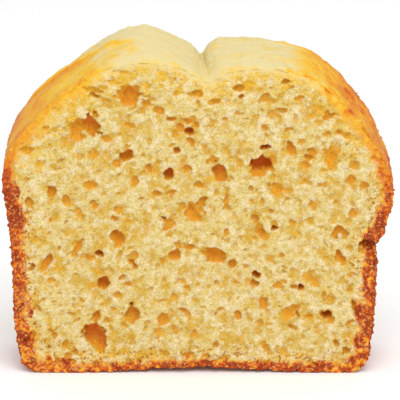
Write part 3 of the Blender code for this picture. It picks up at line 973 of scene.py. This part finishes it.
def crust_finish(name, settings):
    """Baked crust: pale and a little glossy on the crown, golden on the shoulders, brown on the walls."""
    finish = Finish(name)
    browned, relief, craggy = (finish.kept(kept) for kept in ("browned", "relief", "craggy"))
    patches, mottle, glint_spots = finish.noise(5.0), finish.noise(1.7, 4.0), finish.noise(0.85, 3.0)
    speck, grain_cells = finish.noise(0.6, 2.0), finish.grains(0.36)
    coarse, middling, fine = patches - 0.5, mottle - 0.5, speck - 0.5
    # Darker where the craggy crust's relief dips, with random mottling
    rough_level = (relief * -0.3 + fine * 0.6 + coarse * 0.6 + middling * 1.3) * craggy
    smooth_level = (coarse * 0.32 + middling * 0.3 + fine * 0.25) * (1 - craggy)
    body = crust_colour(finish, browned + rough_level + smooth_level, settings)
    # Painted highlight: glints of light on the crust, mostly where it is craggy
    glint = (grain_cells.rise(0.8, 1.0) * 0.2 + glint_spots.rise(0.55, 0.67) * 0.55) * (craggy * 0.8 + 0.06)
    finish.set("Base Color", finish.mix(body, settings.glint, glint))
    finish.set("Roughness", 0.45 + craggy * 0.3 + fine * 0.3)
    finish.set("Specular IOR Level", 0.12)
    pimples = (speck * 0.5 + grain_cells * 0.2) * (craggy * 0.7 + 0.3)
    finish.set("Normal", finish.bump(pimples + mottle * 0.5, 0.35))
    return finish.material


def floor_finish(settings):
    finish = Finish("pale_floor")
    finish.set("Base Color", (*settings.floor, 1.0))
    finish.set("Roughness", 0.9)
    finish.set("Specular IOR Level", 0.1)
    return finish.material


def finish_piece(obj, material):
    """Gives a piece its finish and its place on the slice."""
    obj.data.materials.clear()
    obj.data.materials.append(material)
    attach(obj, "root")


# The operators


class CAKE_OT_crumb_and_crust(bpy.types.Operator):
    """Make the two cut faces and the crust round them"""

    bl_idname = "cake.crumb_and_crust"
    bl_label = "Crumb and crust"
    bl_options = {"REGISTER", "UNDO"}

    def execute(self, context):
        crumb, crust = context.scene.cake_crumb, context.scene.cake_crust
        points, relief = crust_points(crust)
        skin = build_crust(points, relief)
        finish_piece(skin, crust_finish("baked_crust", crust))
        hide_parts(NODE)
        for name, row, side in (("crumb_front", 0, -1), ("crumb_back", DEEP, 1)):
            face = build_crumb(name, points[row], side, crumb)
            finish_piece(face, crumb_finish(name + "_finish", crumb, crust))
            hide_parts(NODE)
        return {"FINISHED"}


class CAKE_OT_loose_crumbs(bpy.types.Operator):
    """Scatter crumbs that cling to the crust"""

    bl_idname = "cake.loose_crumbs"
    bl_label = "Loose crumbs"
    bl_options = {"REGISTER", "UNDO"}

    def execute(self, context):
        settings = context.scene.cake_crust
        points = crust_points(settings)[0]
        crumbs = build_loose_crumbs(points, settings.crumbs)
        finish_piece(crumbs, crust_finish("crumb_bits", settings))
        return {"FINISHED"}


class CAKE_OT_stage(bpy.types.Operator):
    """Add a pale floor, soft light and the camera"""

    bl_idname = "cake.stage"
    bl_label = "Stage"
    bl_options = {"REGISTER", "UNDO"}

    def execute(self, context):
        settings = context.scene.cake_stage
        deselect()
        bpy.ops.mesh.primitive_plane_add(size=6.0, location=(0, 0, -0.00005))
        floor = bpy.context.object
        floor.name = "floor"
        floor.data.materials.append(floor_finish(settings))
        add_lights(settings)
        add_camera(settings)
        context.scene.view_settings.view_transform = "Standard"
        return {"FINISHED"}


def add_lights(settings):
    """White light from all round, and a large soft light from above the front."""
    world = bpy.data.worlds.new("studio")
    bpy.context.scene.world = world
    world.use_nodes = True
    world.node_tree.nodes["Background"].inputs["Color"].default_value = (1, 1, 1, 1)
    world.node_tree.nodes["Background"].inputs["Strength"].default_value = settings.fill
    deselect()
    bpy.ops.object.light_add(type="AREA", location=KEY_PLACE)
    light = bpy.context.object
    light.name = "key_light"
    light.data.shape = "SQUARE"
    light.data.size = 0.9
    light.data.energy = settings.key
    aim = Vector(KEY_AIM) - light.location
    light.rotation_euler = aim.to_track_quat("-Z", "Y").to_euler()


def add_camera(settings):
    """A long lens that looks down at the cut face."""
    back = Vector((0, -math.cos(settings.elevation), math.sin(settings.elevation)))
    deselect()
    bpy.ops.object.camera_add(location=Vector(CAMERA_AIM) + back * settings.distance)
    camera = bpy.context.object
    camera.rotation_euler = (-back).to_track_quat("-Z", "Y").to_euler()
    camera.data.sensor_width = 36.0
    camera.data.lens = LENS * settings.distance / DISTANCE
    camera.data.clip_start = 0.01
    bpy.context.scene.camera = camera


class CAKE_PT_panel(bpy.types.Panel):
    bl_label = "Cake slice"
    bl_idname = "CAKE_PT_panel"
    bl_space_type = "VIEW_3D"
    bl_region_type = "UI"
    bl_category = "Cake"

    def draw(self, context):
        layout = self.layout
        for operator in (CAKE_OT_crumb_and_crust, CAKE_OT_loose_crumbs, CAKE_OT_stage):
            layout.operator(operator.bl_idname)
        for group in (context.scene.cake_crumb, context.scene.cake_crust, context.scene.cake_stage):
            for name in group.__annotations__:
                layout.prop(group, name)


CLASSES = (
    CrumbSettings, CrustSettings, StageSettings,
    CAKE_OT_crumb_and_crust, CAKE_OT_loose_crumbs, CAKE_OT_stage, CAKE_PT_panel,
)


def register():
    for cls in CLASSES:
        bpy.utils.register_class(cls)
    bpy.types.Scene.cake_crumb = bpy.props.PointerProperty(type=CrumbSettings)
    bpy.types.Scene.cake_crust = bpy.props.PointerProperty(type=CrustSettings)
    bpy.types.Scene.cake_stage = bpy.props.PointerProperty(type=StageSettings)


def unregister():
    for name in ("cake_crumb", "cake_crust", "cake_stage"):
        delattr(bpy.types.Scene, name)
    for cls in reversed(CLASSES):
        bpy.utils.unregister_class(cls)


def main():
    register()
    bpy.ops.cake.crumb_and_crust()
    bpy.ops.cake.loose_crumbs()
    bpy.ops.cake.stage()


if __name__ == "__main__":
    main()
